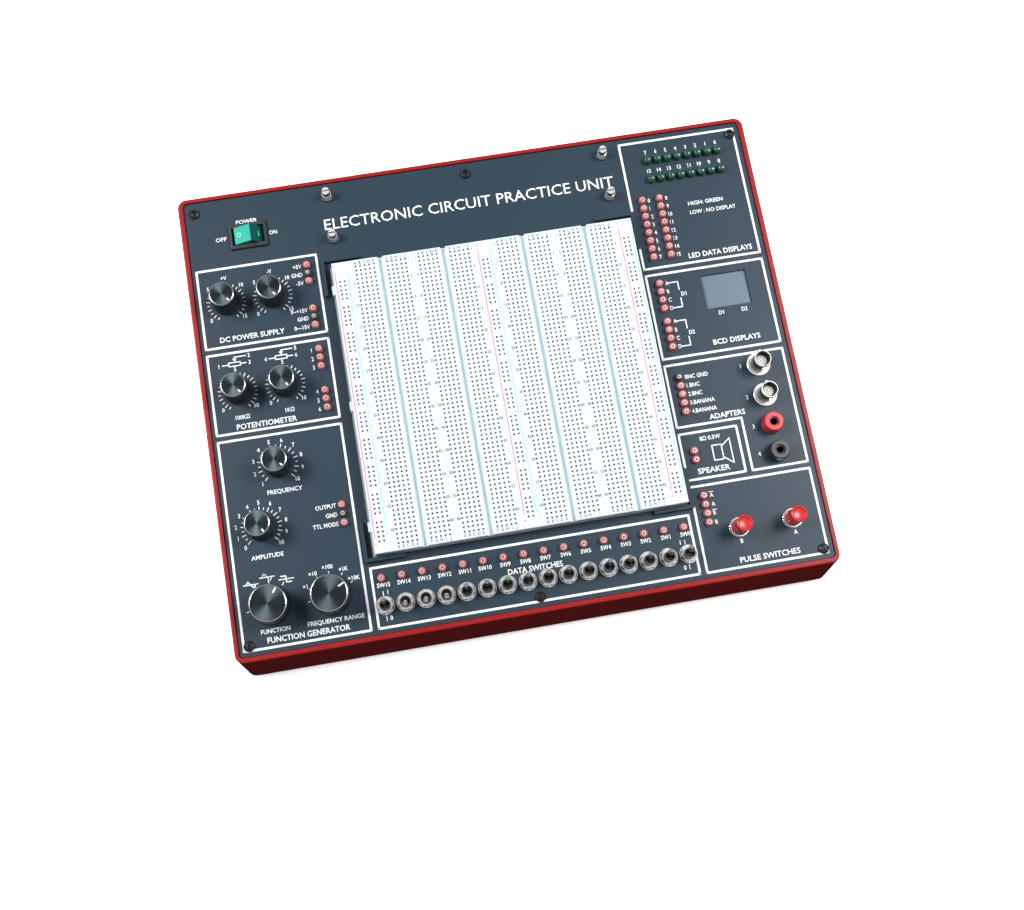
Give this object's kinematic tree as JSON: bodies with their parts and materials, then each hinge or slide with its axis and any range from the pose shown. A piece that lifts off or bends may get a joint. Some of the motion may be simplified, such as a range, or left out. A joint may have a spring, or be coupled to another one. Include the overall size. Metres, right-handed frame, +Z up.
{
  "type": "function generator",
  "caption": "Sloping bench trainer with a function generator: knobs, selector dials, toggle and pulse switches, sockets and a solderless breadboard on a slate panel in a red tub.",
  "frame": {"origin": "centre of the footprint on the surface that the feet stand on", "axes": "+Z up, +X to the right of a person facing the panel, +Y to the taller rear wall"},
  "size_m": [0.3292, 0.2603, 0.0983],
  "materials": {
    "red_case": "semi-gloss moulded red",
    "black_rubber": "matt",
    "slate_panel": "satin slate grey with white printing",
    "black_steel": "black oxide",
    "nickel": "bright nickel plate",
    "black_plastic": "matt black",
    "white_plastic": "white ABS",
    "switch_metal": "plated steel",
    "green_lens": "tinted diffused lens, unlit",
    "smoked_window": "smoked clear sheet",
    "red_collar": "soft red nylon",
    "white_insulator": "white insulator",
    "red_plastic": "glossy red",
    "brass_contact": "plated brass",
    "green_board": "glass-epoxy laminate with green mask",
    "core_steel": "laminated core with taped winding",
    "green_rocker": "translucent green, lit",
    "knob_black": "black skirt with spun aluminium cap"
  },
  "bodies": {
    "chassis": {"tub": "red_case", "feet": "black_rubber", "panel": "slate_panel", "panel_screws": "black_steel", "posts": "nickel", "strip_backing": "black_plastic", "terminal_strips": "white_plastic", "bus_strips": "white_plastic", "corner_guides": "slate_panel", "rocker_frame": "black_plastic", "pots": "switch_metal", "rotary_switches": "switch_metal", "toggle_bodies": "switch_metal", "toggle_washers": "nickel", "toggle_nuts": "nickel", "button_bodies": "black_plastic", "button_bezels": "nickel", "leds": "green_lens", "display_window": "smoked_window", "display_module": "black_plastic", "red_jacks": "red_collar", "dark_jacks": "black_plastic", "jack_contacts": "nickel", "bnc_shells": "nickel", "bnc_cores": "white_insulator", "rear_nuts": "nickel", "banana_red": "red_plastic", "banana_black": "black_plastic", "banana_contacts": "brass_contact", "main_board": "green_board", "transformer": "core_steel", "speaker": "black_plastic", "mains_inlet": "black_plastic"},
    "knob_supply_plus": {"knob_supply_plus": "knob_black"},
    "knob_supply_minus": {"knob_supply_minus": "knob_black"},
    "knob_resistor_100k": {"knob_resistor_100k": "knob_black"},
    "knob_resistor_1k": {"knob_resistor_1k": "knob_black"},
    "knob_frequency": {"knob_frequency": "knob_black"},
    "knob_amplitude": {"knob_amplitude": "knob_black"},
    "selector_waveform": {"selector_waveform": "knob_black"},
    "selector_range": {"selector_range": "knob_black"},
    "power_rocker": {"power_rocker": "green_rocker"},
    "lever_00": {"lever_00": "nickel"},
    "lever_01": {"lever_01": "nickel"},
    "lever_02": {"lever_02": "nickel"},
    "lever_03": {"lever_03": "nickel"},
    "lever_04": {"lever_04": "nickel"},
    "lever_05": {"lever_05": "nickel"},
    "lever_06": {"lever_06": "nickel"},
    "lever_07": {"lever_07": "nickel"},
    "lever_08": {"lever_08": "nickel"},
    "lever_09": {"lever_09": "nickel"},
    "lever_10": {"lever_10": "nickel"},
    "lever_11": {"lever_11": "nickel"},
    "lever_12": {"lever_12": "nickel"},
    "lever_13": {"lever_13": "nickel"},
    "lever_14": {"lever_14": "nickel"},
    "lever_15": {"lever_15": "nickel"},
    "button_b": {"button_b": "red_plastic"},
    "button_a": {"button_a": "red_plastic"}
  },
  "joints": [
    {"name": "supply_plus_turn", "type": "hinge", "parent": "chassis", "child": "knob_supply_plus", "pos_m": [-0.1443, 0.06493, 0.08007], "axis": [0, -0.2079, 0.9781], "range_deg": [-11, 289]},
    {"name": "supply_minus_turn", "type": "hinge", "parent": "chassis", "child": "knob_supply_minus", "pos_m": [-0.1183, 0.06493, 0.08007], "axis": [0, -0.2079, 0.9781], "range_deg": [0, 300]},
    {"name": "resistor_100k_turn", "type": "hinge", "parent": "chassis", "child": "knob_resistor_100k", "pos_m": [-0.1444, 0.01387, 0.06921], "axis": [0, -0.2079, 0.9781], "range_deg": [-7, 293]},
    {"name": "resistor_1k_turn", "type": "hinge", "parent": "chassis", "child": "knob_resistor_1k", "pos_m": [-0.1182, 0.01387, 0.06921], "axis": [0, -0.2079, 0.9781], "range_deg": [0, 300]},
    {"name": "frequency_turn", "type": "hinge", "parent": "chassis", "child": "knob_frequency", "pos_m": [-0.1281, -0.02927, 0.06005], "axis": [0, -0.2079, 0.9781], "range_deg": [-14, 286]},
    {"name": "amplitude_turn", "type": "hinge", "parent": "chassis", "child": "knob_amplitude", "pos_m": [-0.1414, -0.06145, 0.05321], "axis": [0, -0.2079, 0.9781], "range_deg": [-2, 298]},
    {"name": "waveform_select", "type": "hinge", "parent": "chassis", "child": "selector_waveform", "pos_m": [-0.1412, -0.10312, 0.04435], "axis": [0, -0.2079, 0.9781], "range_deg": [0, 73]},
    {"name": "range_select", "type": "hinge", "parent": "chassis", "child": "selector_range", "pos_m": [-0.1091, -0.10312, 0.04435], "axis": [0, -0.2079, 0.9781], "range_deg": [0, 161]},
    {"name": "power_rock", "type": "hinge", "parent": "chassis", "child": "power_rocker", "pos_m": [-0.1272, 0.10223, 0.08493], "axis": [0, 0.9781, 0.2079], "range_deg": [-26, 0]},
    {"name": "data_switch_00", "type": "hinge", "parent": "chassis", "child": "lever_00", "pos_m": [0.083, -0.11377, 0.04638], "axis": [1, 0, 0], "range_deg": [0, 25]},
    {"name": "data_switch_01", "type": "hinge", "parent": "chassis", "child": "lever_01", "pos_m": [0.072, -0.11377, 0.04638], "axis": [1, 0, 0], "range_deg": [0, 25]},
    {"name": "data_switch_02", "type": "hinge", "parent": "chassis", "child": "lever_02", "pos_m": [0.061, -0.11377, 0.04638], "axis": [1, 0, 0], "range_deg": [0, 25]},
    {"name": "data_switch_03", "type": "hinge", "parent": "chassis", "child": "lever_03", "pos_m": [0.05, -0.11377, 0.04638], "axis": [1, 0, 0], "range_deg": [0, 25]},
    {"name": "data_switch_04", "type": "hinge", "parent": "chassis", "child": "lever_04", "pos_m": [0.039, -0.11377, 0.04638], "axis": [1, 0, 0], "range_deg": [0, 25]},
    {"name": "data_switch_05", "type": "hinge", "parent": "chassis", "child": "lever_05", "pos_m": [0.028, -0.11377, 0.04638], "axis": [1, 0, 0], "range_deg": [0, 25]},
    {"name": "data_switch_06", "type": "hinge", "parent": "chassis", "child": "lever_06", "pos_m": [0.017, -0.11377, 0.04638], "axis": [1, 0, 0], "range_deg": [0, 25]},
    {"name": "data_switch_07", "type": "hinge", "parent": "chassis", "child": "lever_07", "pos_m": [0.006, -0.11377, 0.04638], "axis": [1, 0, 0], "range_deg": [0, 25]},
    {"name": "data_switch_08", "type": "hinge", "parent": "chassis", "child": "lever_08", "pos_m": [-0.005, -0.11377, 0.04638], "axis": [1, 0, 0], "range_deg": [0, 25]},
    {"name": "data_switch_09", "type": "hinge", "parent": "chassis", "child": "lever_09", "pos_m": [-0.016, -0.11377, 0.04638], "axis": [1, 0, 0], "range_deg": [0, 25]},
    {"name": "data_switch_10", "type": "hinge", "parent": "chassis", "child": "lever_10", "pos_m": [-0.027, -0.11377, 0.04638], "axis": [1, 0, 0], "range_deg": [0, 25]},
    {"name": "data_switch_11", "type": "hinge", "parent": "chassis", "child": "lever_11", "pos_m": [-0.038, -0.11377, 0.04638], "axis": [1, 0, 0], "range_deg": [0, 25]},
    {"name": "data_switch_12", "type": "hinge", "parent": "chassis", "child": "lever_12", "pos_m": [-0.049, -0.11377, 0.04638], "axis": [1, 0, 0], "range_deg": [-25, 0]},
    {"name": "data_switch_13", "type": "hinge", "parent": "chassis", "child": "lever_13", "pos_m": [-0.06, -0.11377, 0.04638], "axis": [1, 0, 0], "range_deg": [-25, 0]},
    {"name": "data_switch_14", "type": "hinge", "parent": "chassis", "child": "lever_14", "pos_m": [-0.071, -0.11377, 0.04638], "axis": [1, 0, 0], "range_deg": [-25, 0]},
    {"name": "data_switch_15", "type": "hinge", "parent": "chassis", "child": "lever_15", "pos_m": [-0.082, -0.11377, 0.04638], "axis": [1, 0, 0], "range_deg": [0, 25]},
    {"name": "button_b_press", "type": "slide", "parent": "chassis", "child": "button_b", "axis": [0, -0.2079, 0.9781], "range_m": [-0.003, 0], "stiffness_N_per_m": 300, "springref_m": 0.001},
    {"name": "button_a_press", "type": "slide", "parent": "chassis", "child": "button_a", "axis": [0, -0.2079, 0.9781], "range_m": [-0.003, 0], "stiffness_N_per_m": 300, "springref_m": 0.001}
  ]
}
